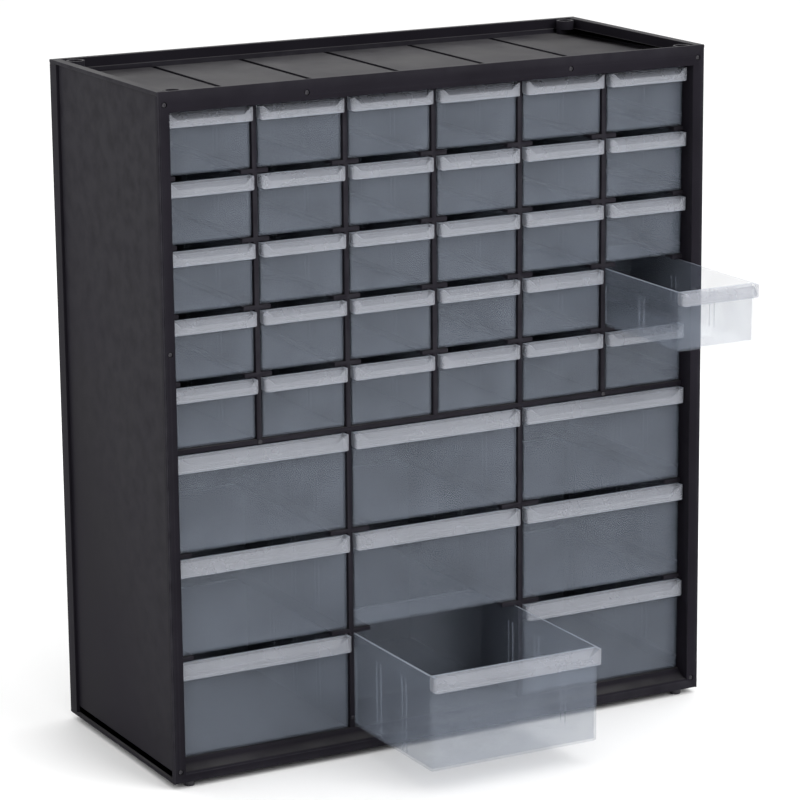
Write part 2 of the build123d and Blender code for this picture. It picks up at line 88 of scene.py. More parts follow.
def length(name, description, millimetres):
    """A length that can be set, given in millimetres."""
    return bpy.props.FloatProperty(
        name=name, description=description, default=millimetres * MM, min=0.0, unit="LENGTH")


def share(name, description, value):
    """A setting between none and all."""
    return bpy.props.FloatProperty(
        name=name, description=description, default=value, min=0.0, max=1.0, subtype="FACTOR")


def colour(name, description, value):
    """A colour that can be set."""
    return bpy.props.FloatVectorProperty(
        name=name, description=description, default=value, size=3, min=0.0, max=1.0, subtype="COLOR")


class CabinetSizes(bpy.types.PropertyGroup):
    """Sizes of the black panels that the frame's boxes don't give."""

    edge_round: length("Edge rounding", "Rounding of the cabinet's long moulded edges", 0.35)
    fine_round: length("Fine edge rounding", "Rounding of the bars' and ledges' edges", 0.25)
    flange_height: length("Flange height", "Height of the flange along the foot of a side panel", 2.4)
    field_recess: length("Field recess", "Depth of the recessed field of a side panel", 1.8)
    front_border: length("Front border", "Plain border in front of that field", 3.0)
    back_post: length("Back post", "Width of the post behind that field", 10.3)
    groove_height: length("Groove height", "Height of the groove over the flange", 3.2)
    groove_depth: length("Groove depth", "How far that groove goes into the field", 0.9)
    groove_slope: length("Groove slope", "Height of the slope from the groove up to the field", 3.4)
    back_field_inset: length("Back field inset", "Plain border round the back panel's field", 12.0)
    back_field_depth: length("Back field depth", "Depth of the back panel's recessed field", 0.6)
    back_field_corner: length("Back field corner", "Corner rounding of that field", 5.0)


class SmallPieces(bpy.types.PropertyGroup):
    """Sizes of the moulded pins, the screws and the feet."""

    pin_radius: length("Pin radius", "Radius of a pin's head", 1.4)
    pin_head: length("Pin head", "Thickness of a pin's head", 0.7)
    pin_shank: length("Pin shank", "Length of the shank behind the head", 2.0)
    pin_shoulder: length("Pin shoulder", "How much wider the head is than the shank, each side", 0.4)
    pin_rim_round: length("Pin rim rounding", "Rounding of the head's front rim", 0.3)
    pin_land: length("Pin land", "Width of the flat ring round the dimple", 0.62)
    pin_dimple_slope: length("Dimple slope", "Width of the dimple's sloped side", 0.12)
    pin_dimple_depth: length("Dimple depth", "Depth of the dimple in the head", 0.18)
    screw_radius: length("Screw radius", "Radius of a screw's head", 2.0)
    screw_head: length("Screw head", "Thickness of a screw's head", 1.2)
    screw_shank: length("Screw shank", "Length of the shank behind the head", 6.8)
    screw_shoulder: length("Screw shoulder", "How much wider the head is than the shank, each side", 1.0)
    screw_rim_round: length("Screw rim rounding", "Rounding of the domed head", 0.55)
    cross_length: length("Cross length", "Length of an arm of the screw's cross recess", 2.3)
    cross_width: length("Cross width", "Width of an arm of that recess", 0.45)
    cross_depth: length("Cross depth", "Depth of that recess", 0.75)
    cross_taper: share("Cross taper", "Size of the recess's floor beside its mouth", 0.55)
    foot_radius: length("Foot radius", "Radius of a peg foot", 3.6)
    foot_height: length("Foot height", "Height of a foot below the body", 4.0)
    foot_rim_round: length("Foot rim rounding", "Rounding of a foot's lower rim", 0.6)
    stem_shoulder: length("Stem shoulder", "How much wider the foot is than its stem, each side", 0.6)
    stem_height: length("Stem height", "Height of the stem inside the base", 4.5)
    foot_ring: length("Foot ring", "Width of the ring that a foot stands on", 1.2)
    foot_hollow: length("Foot hollow", "Depth of the hollow inside that ring", 0.5)


class DrawerShape:
    """Sizes that both kinds of drawer have."""

    draft: length("Draft", "How far each side leans in from the top to the bottom", 0.15)
    corner_round: length("Corner rounding", "Rounding of the box's standing and bottom edges", 1.9)
    lip_depth: length("Lip depth", "How far the pull lip stands in front of the box", 5.2)
    lip_wall: length("Lip wall", "Wall thickness of the pull lip", 1.3)
    lip_corner_round: length("Lip corner rounding", "Rounding of the lip's standing and lower corners", 1.9)
    rib_width: length("Rib width", "Width of one divider rib", 1.1)
    rib_depth: length("Rib depth", "How far a divider rib stands out of the wall", 1.2)
    rib_spacing: length("Rib spacing", "Distance between the two ribs of a pair", 5.4)
    lug_height: length("Lug height", "Height of the stop lugs on the side walls", 1.2)
    lug_length: length("Lug length", "Length of the stop lugs", 4.0)
    lug_from_rear: length("Lug place", "Distance from the drawer's rear to a stop lug's front", 26.0)
    lug_inset: length("Lug inset", "How far a stop lug stays inside both faces of its wall", 0.1)
    edge_round: length("Fine edge rounding", "Rounding of the drawer's moulded edges", 0.25)


class SmallDrawer(DrawerShape, bpy.types.PropertyGroup):
    """Sizes of the thirty small drawers."""

    wall: length("Wall", "Wall thickness", 1.3)
    lip_height: length("Lip height", "Height of the pull lip", 8.4)
    crease_drop: length("Crease drop", "How far the lip's crease lies below the rim", 3.9)
    hip_start: length("Hip start", "Where the scoop starts at the rim, from the lip's end", 2.3)
    hip_end: length("Hip end", "Where the scoop starts at the crease, from the lip's end", 6.6)
    first_ribs: length("First ribs", "Distance from the front wall to the first pair of ribs", 45.5)
    rib_step: length("Rib step", "Distance from one pair of ribs to the next", 45.5)
    rib_drop: length("Rib drop", "How far the ribs end below the rim", 11.9)
    rib_pairs: bpy.props.IntProperty(
        name="Rib pairs", description="Pairs of divider ribs in each side wall", default=2, min=0)


class LargeDrawer(DrawerShape, bpy.types.PropertyGroup):
    """Sizes of the nine large drawers."""

    wall: length("Wall", "Wall thickness", 1.5)
    lip_height: length("Lip height", "Height of the pull lip", 10.0)
    crease_drop: length("Crease drop", "How far the lip's crease lies below the rim", 5.0)
    hip_start: length("Hip start", "Where the scoop starts at the rim, from the lip's end", 2.5)
    hip_end: length("Hip end", "Where the scoop starts at the crease, from the lip's end", 10.0)
    first_ribs: length("First ribs", "Distance from the front wall to the first pair of ribs", 38.0)
    rib_step: length("Rib step", "Distance from one pair of ribs to the next", 33.0)
    rib_drop: length("Rib drop", "How far the ribs end below the rim", 11.547)
    rib_pairs: bpy.props.IntProperty(
        name="Rib pairs", description="Pairs of divider ribs in each side wall", default=3, min=0)


class CabinetFinish(bpy.types.PropertyGroup):
    """Colours and surface values."""

    black: colour("Cabinet black", "The cabinet's satin plastic", (0.0125, 0.0112, 0.0152))
    black_worn: colour("Worn black", "The same plastic along its rubbed edges", (0.036, 0.035, 0.041))
    dust: colour("Dust", "Thin dust on upward faces", (0.16, 0.158, 0.155))
    drawer: colour("Drawer veil", "The drawers' milky plastic", (0.262, 0.300, 0.368))
    # painted highlight: the rims get a lighter colour than the walls, standing in for the light that
    # gathers in the plastic's edges
    drawer_edge: colour("Drawer edge", "The drawers' rims, where light gathers", (0.44, 0.48, 0.55))
    drawer_lip: colour("Pull lip", "The drawers' thicker pull lips", (0.38, 0.395, 0.44))
    drawer_veil: share("Veil strength", "How much one wall surface hides what is behind it", 0.18)
    # painted highlight: the rims are also more opaque than the walls, so that their lighter colour shows
    edge_highlight_veil: share("Edge strength", "How much a rim hides what is behind it", 0.52)
    lip_veil: share("Lip strength", "How much one surface of a lip hides what is behind it", 0.43)
    steel: colour("Screw steel", "The zinc-plated screws", (0.36, 0.37, 0.39))
    floor: colour("Floor", "The plain floor", (0.97, 0.97, 0.97))


# ---------------------------------------- modelling helpers

def select(*pieces):
    """These pieces are selected and nothing else, and the first is the active one."""
    for other in bpy.context.scene.objects:
        other.select_set(False)
    for piece in pieces:
        piece.select_set(True)
    bpy.context.view_layer.objects.active = pieces[0]


def deselect():
    for other in bpy.context.scene.objects:
        other.select_set(False)
    bpy.context.view_layer.objects.active = None


def block(name, low, high):
    """A box between two corners."""
    deselect()
    size = [b - a for a, b in zip(low, high)]
    middle = [(a + b) / 2 for a, b in zip(low, high)]
    bpy.ops.mesh.primitive_cube_add(size=1, location=middle, scale=size)
    piece = bpy.context.object
    piece.name = name
    bpy.ops.object.transform_apply(location=True, rotation=True, scale=True)
    return piece


def pick(piece, kind, test):
    """In edit mode, select the faces, edges or points that pass the test."""
    bpy.ops.mesh.select_mode(type=kind)
    bpy.ops.mesh.select_all(action="DESELECT")
    shape = bmesh.from_edit_mesh(piece.data)
    items = {"FACE": shape.faces, "EDGE": shape.edges, "VERT": shape.verts}[kind]
    found = [item for item in items if test(item)]
    if not found:
        raise RuntimeError(f"nothing to select on {piece.name}")
    for item in found:
        item.select_set(True)
    shape.select_flush_mode()
    bmesh.update_edit_mesh(piece.data)


def edit(piece):
    select(piece)
    bpy.ops.object.mode_set(mode="EDIT")


def edit_done():
    bpy.ops.object.mode_set(mode="OBJECT")


def face_width(mesh, face):
    """Area over the longest side: the width of a narrow face."""
    points = mesh.vertices
    return face.area / max((points[a].co - points[b].co).length for a, b in face.edge_keys)


def finish_modifier(piece, kind, **values):
    """Add a modifier, set it and apply it."""
    select(piece)
    modifier = piece.modifiers.new(kind.title(), kind)
    for key, value in values.items():
        setattr(modifier, key, value)
    bpy.ops.object.modifier_apply(modifier=modifier.name)


def combine(piece, tool, operation):
    """Join the tool to the piece, or cut it from the piece, and remove the tool."""
    finish_modifier(piece, "BOOLEAN", object=tool, operation=operation, solver="EXACT")
    bpy.data.meshes.remove(tool.data)
    if not piece.data.polygons:
        raise RuntimeError(f"{piece.name} came out empty")


def join(first, *others):
    """One piece made of several loose shells."""
    select(first, *others)
    bpy.ops.object.join()
    return first


def divide(place, across):
    """In edit mode, divide every face where this plane crosses it."""
    bpy.ops.mesh.select_all(action="SELECT")
    bpy.ops.mesh.bisect(plane_co=place, plane_no=across, use_fill=False, threshold=NEAR / 4)


def merged_copy(node, name, cuts=()):
    """A copy of a frame node's mesh with its triangles merged into flat faces.

    Each cut is a place on X where flat faces are divided, so that none has a hole in it.
    """
    piece = bpy.data.objects.new(name, frame["nodes"][node].data.copy())
    piece.data.materials.clear()
    bpy.context.scene.collection.objects.link(piece)
    edit(piece)
    bpy.ops.mesh.customdata_custom_splitnormals_clear()
    bpy.ops.mesh.select_all(action="SELECT")
    bpy.ops.mesh.remove_doubles(threshold=WELD)
    bpy.ops.mesh.dissolve_limited(angle_limit=FLAT, use_dissolve_boundaries=False)
    for x in cuts:
        divide((x, 0, 0), (1, 0, 0))
    edit_done()
    return piece


def round_edges(piece, width, shortest=2.5 * MM):
    """Round the long sharp edges, and shade the rest by angle."""
    shape = bmesh.new()
    shape.from_mesh(piece.data)
    layer = shape.edges.layers.float.get("bevel_weight_edge")
    if layer is None:
        layer = shape.edges.layers.float.new("bevel_weight_edge")
    for edge in shape.edges:
        sharp = len(edge.link_faces) == 2 and SHARP < edge.calc_face_angle(0.0) < FOLDED
        edge[layer] = 1.0 if sharp and edge.calc_length() > shortest else 0.0
    shape.to_mesh(piece.data)
    shape.free()
    finish_modifier(piece, "BEVEL", width=width, segments=2, limit_method="WEIGHT",
                    use_clamp_overlap=False, miter_outer="MITER_SHARP")
    select(piece)
    bpy.ops.object.shade_smooth_by_angle(angle=SHARP)
    # broad flat faces keep their own normal
    for face in piece.data.polygons:
        if face_width(piece.data, face) > BROAD:
            face.use_smooth = False


def paint(piece, *materials):
    piece.data.materials.clear()
    for material in materials:
        piece.data.materials.append(material)


def hand_over(piece, node, body="cabinet"):
    """The piece stands for this frame node and moves with its body."""
    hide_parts(node)
    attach(piece, body)


# ---------------------------------------- shader groups

def new_group(name, inputs, outputs):
    """An empty node group with named sockets."""
    group = bpy.data.node_groups.new(name, "ShaderNodeTree")
    for label, kind, value in inputs:
        socket = group.interface.new_socket(name=label, in_out="INPUT", socket_type=kind)
        socket.default_value = value
    for label, kind in outputs:
        group.interface.new_socket(name=label, in_out="OUTPUT", socket_type=kind)
    return group, group.nodes.new("NodeGroupInput"), group.nodes.new("NodeGroupOutput")


def feed(tree, socket, value):
    """Give a socket a link, a colour or a number."""
    if isinstance(value, bpy.types.NodeSocket):
        tree.links.new(value, socket)
    elif hasattr(value, "__len__"):
        socket.default_value = (*value[:3], 1.0)
    else:
        socket.default_value = value


def maths(tree, operation, first, second, clamp=False):
    """A Math node on two values or links."""
    made = tree.nodes.new("ShaderNodeMath")
    made.operation = operation
    made.use_clamp = clamp
    feed(tree, made.inputs[0], first)
    feed(tree, made.inputs[1], second)
    return made.outputs[0]


def spread(tree, value, low, high, to_low=0.0, to_high=1.0):
    """A value stretched from one range to another, and kept inside it."""
    made = tree.nodes.new("ShaderNodeMapRange")
    tree.links.new(value, made.inputs["Value"])
    made.inputs["From Min"].default_value = low
    made.inputs["From Max"].default_value = high
    made.inputs["To Min"].default_value = to_low
    made.inputs["To Max"].default_value = to_high
    return made.outputs["Result"]


def noise(tree, where, scale, detail=3.0):
    """Cloudy noise whose scale may be a value or a link."""
    made = tree.nodes.new("ShaderNodeTexNoise")
    tree.links.new(where, made.inputs["Vector"])
    feed(tree, made.inputs["Scale"], scale)
    made.inputs["Detail"].default_value = detail
    return made.outputs["Fac"]


def mix_colours(tree, amount, first, second):
    """A colour between two, which may each be a value or a link."""
    made = tree.nodes.new("ShaderNodeMix")
    made.data_type = "RGBA"
    feed(tree, made.inputs[0], amount)
    feed(tree, made.inputs[6], first)
    feed(tree, made.inputs[7], second)
    return made.outputs[2]


def group_edge_wear():
    """Rubbed outer edges: a mask from the surface's own sharpness, broken up a little."""
    group, given, out = new_group(
        "edge_wear",
        [("Strength", "NodeSocketFloat", 1.0), ("Patch Scale", "NodeSocketFloat", 90.0)],
        [("Mask", "NodeSocketFloat")])
    shape = group.nodes.new("ShaderNodeNewGeometry")
    where = group.nodes.new("ShaderNodeTexCoord").outputs["Object"]
    ridge = spread(group, shape.outputs["Pointiness"], 0.52, 0.62)
    patches = noise(group, where, given.outputs["Patch Scale"], 4.0)
    broken = spread(group, patches, 0.3, 0.62, 0.35, 1.0)
    mask = maths(group, "MULTIPLY", ridge, broken)
    group.links.new(maths(group, "MULTIPLY", mask, given.outputs["Strength"], True), out.inputs["Mask"])
    return group


def group_moulded_grain():
    """The fine spark-eroded grain of moulded plastic, and its slow unevenness."""
    group, given, out = new_group(
        "moulded_grain",
        [("Grain Scale", "NodeSocketFloat", 2600.0), ("Patch Scale", "NodeSocketFloat", 14.0)],
        [("Height", "NodeSocketFloat"), ("Patches", "NodeSocketFloat")])
    where = group.nodes.new("ShaderNodeTexCoord").outputs["Object"]
    fine = noise(group, where, given.outputs["Grain Scale"], 2.0)
    slow = noise(group, where, given.outputs["Patch Scale"], 3.0)
    group.links.new(fine, out.inputs["Height"])
    group.links.new(spread(group, slow, 0.3, 0.7), out.inputs["Patches"])
    return group


def group_light_dust():
    """Thin dust that lies only on faces that look up."""
    group, given, out = new_group(
        "light_dust", [("Amount", "NodeSocketFloat", 0.3)], [("Mask", "NodeSocketFloat")])
    shape = group.nodes.new("ShaderNodeNewGeometry")
    parts = group.nodes.new("ShaderNodeSeparateXYZ")
    group.links.new(shape.outputs["Normal"], parts.inputs[0])
    upward = spread(group, parts.outputs["Z"], 0.75, 0.98)
    where = group.nodes.new("ShaderNodeTexCoord").outputs["Object"]
    cloud = spread(group, noise(group, where, 26.0, 5.0), 0.32, 0.75, 0.25, 1.0)
    mask = maths(group, "MULTIPLY", upward, cloud)
    group.links.new(maths(group, "MULTIPLY", mask, given.outputs["Amount"], True), out.inputs["Mask"])
    return group


def shared(name):
    """A shader group, made the first time that a material asks for it."""
    makers = {"edge_wear": group_edge_wear, "moulded_grain": group_moulded_grain,
              "light_dust": group_light_dust}
    return bpy.data.node_groups.get(name) or makers[name]()


def use_group(tree, name, **values):
    made = tree.nodes.new("ShaderNodeGroup")
    made.node_tree = shared(name)
    for key, value in values.items():
        made.inputs[key.replace("_", " ")].default_value = value
    return made


# ---------------------------------------- materials

def new_material(name):
    material = bpy.data.materials.new(name)
    material.use_nodes = True
    tree = material.node_tree
    return material, tree, tree.nodes["Principled BSDF"]


def bump(tree, height, distance, strength=1.0):
    made = tree.nodes.new("ShaderNodeBump")
    made.inputs["Distance"].default_value = distance
    made.inputs["Strength"].default_value = strength
    tree.links.new(height, made.inputs["Height"])
    return made.outputs["Normal"]


def black_plastic(name, base, worn, dust, gloss=0.45, wear=0.6, dusty=0.32, shine=0.02):
    """Satin black plastic with fine grain, rubbed edges and a little dust."""
    known = bpy.data.materials.get(name)
    if known:
        return known
    material, tree, shader = new_material(name)
    grain = use_group(tree, "moulded_grain")
    edges = use_group(tree, "edge_wear", Strength=wear)
    dusted = use_group(tree, "light_dust", Amount=dusty)
    deep = mix_colours(tree, grain.outputs["Patches"], [c * 0.8 for c in base], [c * 1.2 for c in base])
    rubbed = mix_colours(tree, edges.outputs["Mask"], deep, worn)
    tree.links.new(mix_colours(tree, dusted.outputs["Mask"], rubbed, dust), shader.inputs["Base Color"])
    rough = spread(tree, grain.outputs["Patches"], 0.0, 1.0, gloss - 0.04, gloss + 0.06)
    rough = maths(tree, "ADD", rough, maths(tree, "MULTIPLY", dusted.outputs["Mask"], 0.4), True)
    tree.links.new(rough, shader.inputs["Roughness"])
    tree.links.new(bump(tree, grain.outputs["Height"], 0.02 * MM, 0.35), shader.inputs["Normal"])
    shader.inputs["IOR"].default_value = 1.5
    shader.inputs["Specular IOR Level"].default_value = shine
    return material


def drawer_plastic(name, base, veil, gloss, mottle):
    """Milky translucent plastic: a thin veil that lets what is behind it through."""
    known = bpy.data.materials.get(name)
    if known:
        return known
    material, tree, shader = new_material(name)
    where = tree.nodes.new("ShaderNodeTexCoord").outputs["Object"]
    grain = use_group(tree, "moulded_grain", Grain_Scale=420.0, Patch_Scale=30.0)
    tint = mix_colours(tree, grain.outputs["Patches"], [c * 0.94 for c in base], base)
    tree.links.new(tint, shader.inputs["Base Color"])
    flow = spread(tree, noise(tree, where, 55.0, 4.0), 0.3, 0.7, veil * (1 - mottle), veil * (1 + mottle))
    tree.links.new(flow, shader.inputs["Alpha"])
    rough = spread(tree, grain.outputs["Patches"], 0.0, 1.0, gloss - 0.03, gloss + 0.05)
    tree.links.new(rough, shader.inputs["Roughness"])
    tree.links.new(bump(tree, grain.outputs["Height"], 0.02 * MM, 0.12), shader.inputs["Normal"])
    shader.inputs["IOR"].default_value = 1.49
    return material


def screw_metal(name, base):
    """Zinc-plated steel with a faint grain and dull patches."""
    material, tree, shader = new_material(name)
    where = tree.nodes.new("ShaderNodeTexCoord").outputs["Object"]
    marks = noise(tree, where, 1800.0, 3.0)
    patches = noise(tree, where, 220.0, 4.0)
    tree.links.new(mix_colours(tree, patches, [c * 0.7 for c in base], base), shader.inputs["Base Color"])
    tree.links.new(spread(tree, patches, 0.3, 0.7, 0.28, 0.45), shader.inputs["Roughness"])
    tree.links.new(bump(tree, marks, 0.02 * MM, 0.4), shader.inputs["Normal"])
    shader.inputs["Metallic"].default_value = 1.0
    return material


def floor_paint(name, base):
    """Matt white board with a barely visible tooth."""
    material, tree, shader = new_material(name)
    where = tree.nodes.new("ShaderNodeTexCoord").outputs["Object"]
    cloud = noise(tree, where, 0.8, 2.0)
    tree.links.new(mix_colours(tree, cloud, [c * 0.985 for c in base], base), shader.inputs["Base Color"])
    tree.links.new(spread(tree, noise(tree, where, 40.0), 0.3, 0.7, 0.75, 0.85), shader.inputs["Roughness"])
    tree.links.new(bump(tree, noise(tree, where, 300.0), 0.05 * MM, 0.1), shader.inputs["Normal"])
    shader.inputs["Specular IOR Level"].default_value = 0.2
    return material


def cabinet_black():
    finish = bpy.context.scene.cabinet_finish
    return black_plastic("satin_black", finish.black, finish.black_worn, finish.dust)


def inner_black():
    finish = bpy.context.scene.cabinet_finish
    return black_plastic("inner_plastic", finish.black, finish.black_worn, finish.dust,
                         gloss=0.46, wear=0.45, dusty=0.12)


def pin_black():
    finish = bpy.context.scene.cabinet_finish
    return black_plastic("pin_plastic", [c * 1.3 for c in finish.black], finish.black_worn, finish.dust,
                         gloss=0.26, wear=0.9, dusty=0.0, shine=0.35)


def drawer_materials():
    finish = bpy.context.scene.cabinet_finish
    # the edge material is a painted highlight: lighter and more opaque than the walls, for the light
    # gathered in the rims
    return (drawer_plastic("drawer_wall", finish.drawer, finish.drawer_veil, 0.26, 0.12),
            drawer_plastic("drawer_edge", finish.drawer_edge, finish.edge_highlight_veil, 0.3, 0.08),
            drawer_plastic("drawer_lip", finish.drawer_lip, finish.lip_veil, 0.34, 0.06))


# ---------------------------------------- black pieces

class CABINET_OT_front_frame(bpy.types.Operator):
    """Bezel ring with stiles, top rail, crossbar and coved sill"""

    bl_idname = "cabinet.front_frame"
    bl_label = "Front frame"

    def execute(self, context):
        sizes = context.scene.cabinet_sizes
        piece = merged_copy("front_frame", "front_frame_piece")
        round_edges(piece, sizes.edge_round)
        paint(piece, cabinet_black())
        hand_over(piece, "front_frame")
        return {"FINISHED"}


class CABINET_OT_side_panels(bpy.types.Operator):
    """Both side panels, with a recessed field and a groove along the bottom"""

    bl_idname = "cabinet.side_panels"
    bl_label = "Side panels"

    def execute(self, context):
        sizes = context.scene.cabinet_sizes
        for side, name in ((1, "side_panel_right"), (-1, "side_panel_left")):
            low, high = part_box(name)
            outer = max(abs(low.x), abs(high.x))
            piece = merged_copy(name, name + "_piece")
            flange_top = low.z + sizes.flange_height
            field = outer - sizes.field_recess
            ends = sorted((side * (field - sizes.groove_depth), side * (outer + PAST)))
            groove = block("groove", (ends[0], low.y + sizes.front_border + NEAR, flange_top),
                           (ends[1], high.y - sizes.back_post - NEAR, flange_top + sizes.groove_height))
            # the groove's upper edge is a slope up to the field
            edit(groove)
            pick(groove, "VERT", lambda v: v.co.z > flange_top + NEAR and abs(v.co.x) > field)
            bpy.ops.transform.translate(value=(0, 0, sizes.groove_slope))
            edit_done()
            combine(piece, groove, "DIFFERENCE")
            round_edges(piece, sizes.edge_round)
            paint(piece, cabinet_black())
            hand_over(piece, name)
        return {"FINISHED"}


class CABINET_OT_top_panel(bpy.types.Operator):
    """Tray with its rims, and the sockets in its corners"""

    bl_idname = "cabinet.top_panel"
    bl_label = "Top panel and sockets"

    def execute(self, context):
        sizes = context.scene.cabinet_sizes
        walls = [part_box(name) for name in sorted(frame["nodes"]) if name.startswith("upper_partition")]
        cuts = [(low.x + high.x) / 2 for low, high in walls]
        piece = merged_copy("top_panel", "top_panel_piece", cuts)
        round_edges(piece, sizes.edge_round)
        paint(piece, cabinet_black())
        hand_over(piece, "top_panel")
        sockets = merged_copy("corner_sockets", "corner_sockets_piece")
        round_edges(sockets, sizes.fine_round, shortest=0.3 * MM)
        paint(sockets, cabinet_black())
        hand_over(sockets, "corner_sockets")
        return {"FINISHED"}


class CABINET_OT_inner_panels(bpy.types.Operator):
    """Back and bottom panels, middle shelf, runners and partitions"""

    bl_idname = "cabinet.inner_panels"
    bl_label = "Inner panels"

    def execute(self, context):
        sizes = context.scene.cabinet_sizes
        low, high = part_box("back_panel")
        back = merged_copy("back_panel", "back_panel_piece")
        inset = sizes.back_field_inset
        field = block("field", (low.x + inset, high.y - sizes.back_field_depth, low.z + inset),
                      (high.x - inset, high.y + PAST, high.z - inset))
        edit(field)
        pick(field, "EDGE", lambda e: abs(e.verts[0].co.y - e.verts[1].co.y) > MM)
        bpy.ops.mesh.bevel(offset=sizes.back_field_corner, segments=6, affect="EDGES")
        edit_done()
        combine(back, field, "DIFFERENCE")
        round_edges(back, sizes.edge_round)
        paint(back, cabinet_black())
        hand_over(back, "back_panel")
        names = [n for n in frame["nodes"]
                 if n in ("bottom_panel", "mid_shelf") or "partition" in n or "runners" in n]
        for name in sorted(names):
            piece = merged_copy(name, name + "_piece")
            round_edges(piece, sizes.fine_round)
            paint(piece, inner_black())
            hand_over(piece, name)
        return {"FINISHED"}


# ---------------------------------------- pins, screws and feet

def shells(node_name):
    """The lowest and highest corner of each loose shell of a frame node."""
    shape = bmesh.new()
    shape.from_mesh(frame["nodes"][node_name].data)
    bmesh.ops.remove_doubles(shape, verts=shape.verts, dist=WELD)
    left, found = set(shape.verts), []
    while left:
        group, queue = set(), [left.pop()]
        while queue:
            point = queue.pop()
            group.add(point)
            for edge in point.link_edges:
                other = edge.other_vert(point)
                if other in left:
                    left.remove(other)
                    queue.append(other)
        places = [v.co for v in group]
        found.append((Vector([min(p[i] for p in places) for i in range(3)]),
                      Vector([max(p[i] for p in places) for i in range(3)])))
    shape.free()
    return sorted(found, key=lambda pair: (pair[0].z, pair[0].x, pair[0].y))


def place_copies(model, places, name):
    """Copies of a small piece that was modelled at the origin, joined into one."""
    copies = []
    for place in places:
        mesh = model.data.copy()
        mesh.transform(Matrix.Translation(place))
        copy = bpy.data.objects.new(name, mesh)
        bpy.context.scene.collection.objects.link(copy)
        copies.append(copy)
    bpy.data.meshes.remove(model.data)
    joined = join(*copies)
    joined.name = name
    return joined


def turned_piece(name, radius, thickness, around):
    """A round bar from y = 0 backwards, with its front face still flat."""
    deselect()
    bpy.ops.mesh.primitive_cylinder_add(vertices=around, radius=radius, depth=thickness,
                                        location=(0, thickness / 2, 0), rotation=(math.pi / 2, 0, 0))
    piece = bpy.context.object
    piece.name = name
    bpy.ops.object.transform_apply(location=True, rotation=True, scale=True)
    return piece


def front_cap(face):
    """True for the flat faces at the front of a turned piece."""
    return face.normal.y < -0.9 and face.calc_center_median().y < TINY


def model_pin(sizes):
    """A moulded pin: a head with a rounded rim and a small dimple, and a thinner shank."""
    pin = turned_piece("pin", sizes.pin_radius, sizes.pin_head, 28)
    edit(pin)
    pick(pin, "FACE", front_cap)
    bpy.ops.mesh.inset(thickness=sizes.pin_land, depth=0)
    bpy.ops.mesh.inset(thickness=sizes.pin_dimple_slope, depth=0)
    pick(pin, "FACE", lambda f: f.normal.y > 0.9)
    bpy.ops.mesh.inset(thickness=sizes.pin_shoulder, depth=0)
    bpy.ops.mesh.extrude_region_move(TRANSFORM_OT_translate={"value": (0, sizes.pin_shank, 0)})
    edit_done()
    edit(pin)
    pick(pin, "EDGE", lambda e: all(v.co.y < TINY and v.co.length > sizes.pin_radius - NEAR
                                    for v in e.verts))
    bpy.ops.mesh.bevel(offset=sizes.pin_rim_round, segments=3, affect="EDGES")
    pick(pin, "FACE", lambda f: front_cap(f) and f.calc_center_median().length < 0.1 * MM)
    bpy.ops.transform.translate(value=(0, sizes.pin_dimple_depth, 0))
    edit_done()
    bpy.ops.object.shade_smooth_by_angle(angle=ROUND_PIECE)
    return pin


def model_screw(sizes):
    """A screw that looks backwards: a domed head with a cross recess, and its shank."""
    screw = turned_piece("screw", sizes.screw_radius, sizes.screw_head, 32)
    edit(screw)
    pick(screw, "FACE", lambda f: f.normal.y > 0.9)
    bpy.ops.mesh.inset(thickness=sizes.screw_shoulder, depth=0)
    bpy.ops.mesh.extrude_region_move(TRANSFORM_OT_translate={"value": (0, sizes.screw_shank, 0)})
    pick(screw, "EDGE", lambda e: all(v.co.y < TINY for v in e.verts))
    bpy.ops.mesh.bevel(offset=sizes.screw_rim_round, segments=4, affect="EDGES")
    edit_done()
    arms = []
    long, narrow = sizes.cross_length / 2, sizes.cross_width / 2
    for half_x, half_z in ((long, narrow), (narrow, long)):
        arm = block("arm", (-half_x, -MM, -half_z), (half_x, sizes.cross_depth, half_z))
        edit(arm)
        pick(arm, "VERT", lambda v: v.co.y > 0)
        bpy.ops.transform.resize(value=(sizes.cross_taper, 1, sizes.cross_taper),
                                 center_override=(0, 0, 0))
        edit_done()
        arms.append(arm)
    combine(arms[0], arms[1], "UNION")
    combine(screw, arms[0], "DIFFERENCE")
    screw.data.transform(Matrix.Rotation(math.pi, 4, "Z"))
    select(screw)
    bpy.ops.object.shade_smooth_by_angle(angle=ROUND_PIECE)
    return screw


def model_foot(sizes):
    """A foot: a peg with a rounded lower rim and a hollow below, and a thinner stem."""
    deselect()
    bpy.ops.mesh.primitive_cylinder_add(
        vertices=40, radius=sizes.foot_radius, depth=sizes.foot_height,
        location=(0, 0, sizes.foot_height / 2))
    foot = bpy.context.object
    bpy.ops.object.transform_apply(location=True, rotation=True, scale=True)
    edit(foot)
    pick(foot, "EDGE", lambda e: all(v.co.z < TINY for v in e.verts))
    bpy.ops.mesh.bevel(offset=sizes.foot_rim_round, segments=3, affect="EDGES")
    pick(foot, "FACE", lambda f: f.normal.z > 0.9)
    bpy.ops.mesh.inset(thickness=sizes.stem_shoulder, depth=0)
    bpy.ops.mesh.extrude_region_move(TRANSFORM_OT_translate={"value": (0, 0, sizes.stem_height)})
    pick(foot, "FACE", lambda f: f.normal.z < -0.99)
    bpy.ops.mesh.inset(thickness=sizes.foot_ring, depth=0)
    bpy.ops.mesh.extrude_region_move(TRANSFORM_OT_translate={"value": (0, 0, sizes.foot_hollow)})
    edit_done()
    bpy.ops.object.shade_smooth_by_angle(angle=ROUND_PIECE)
    return foot


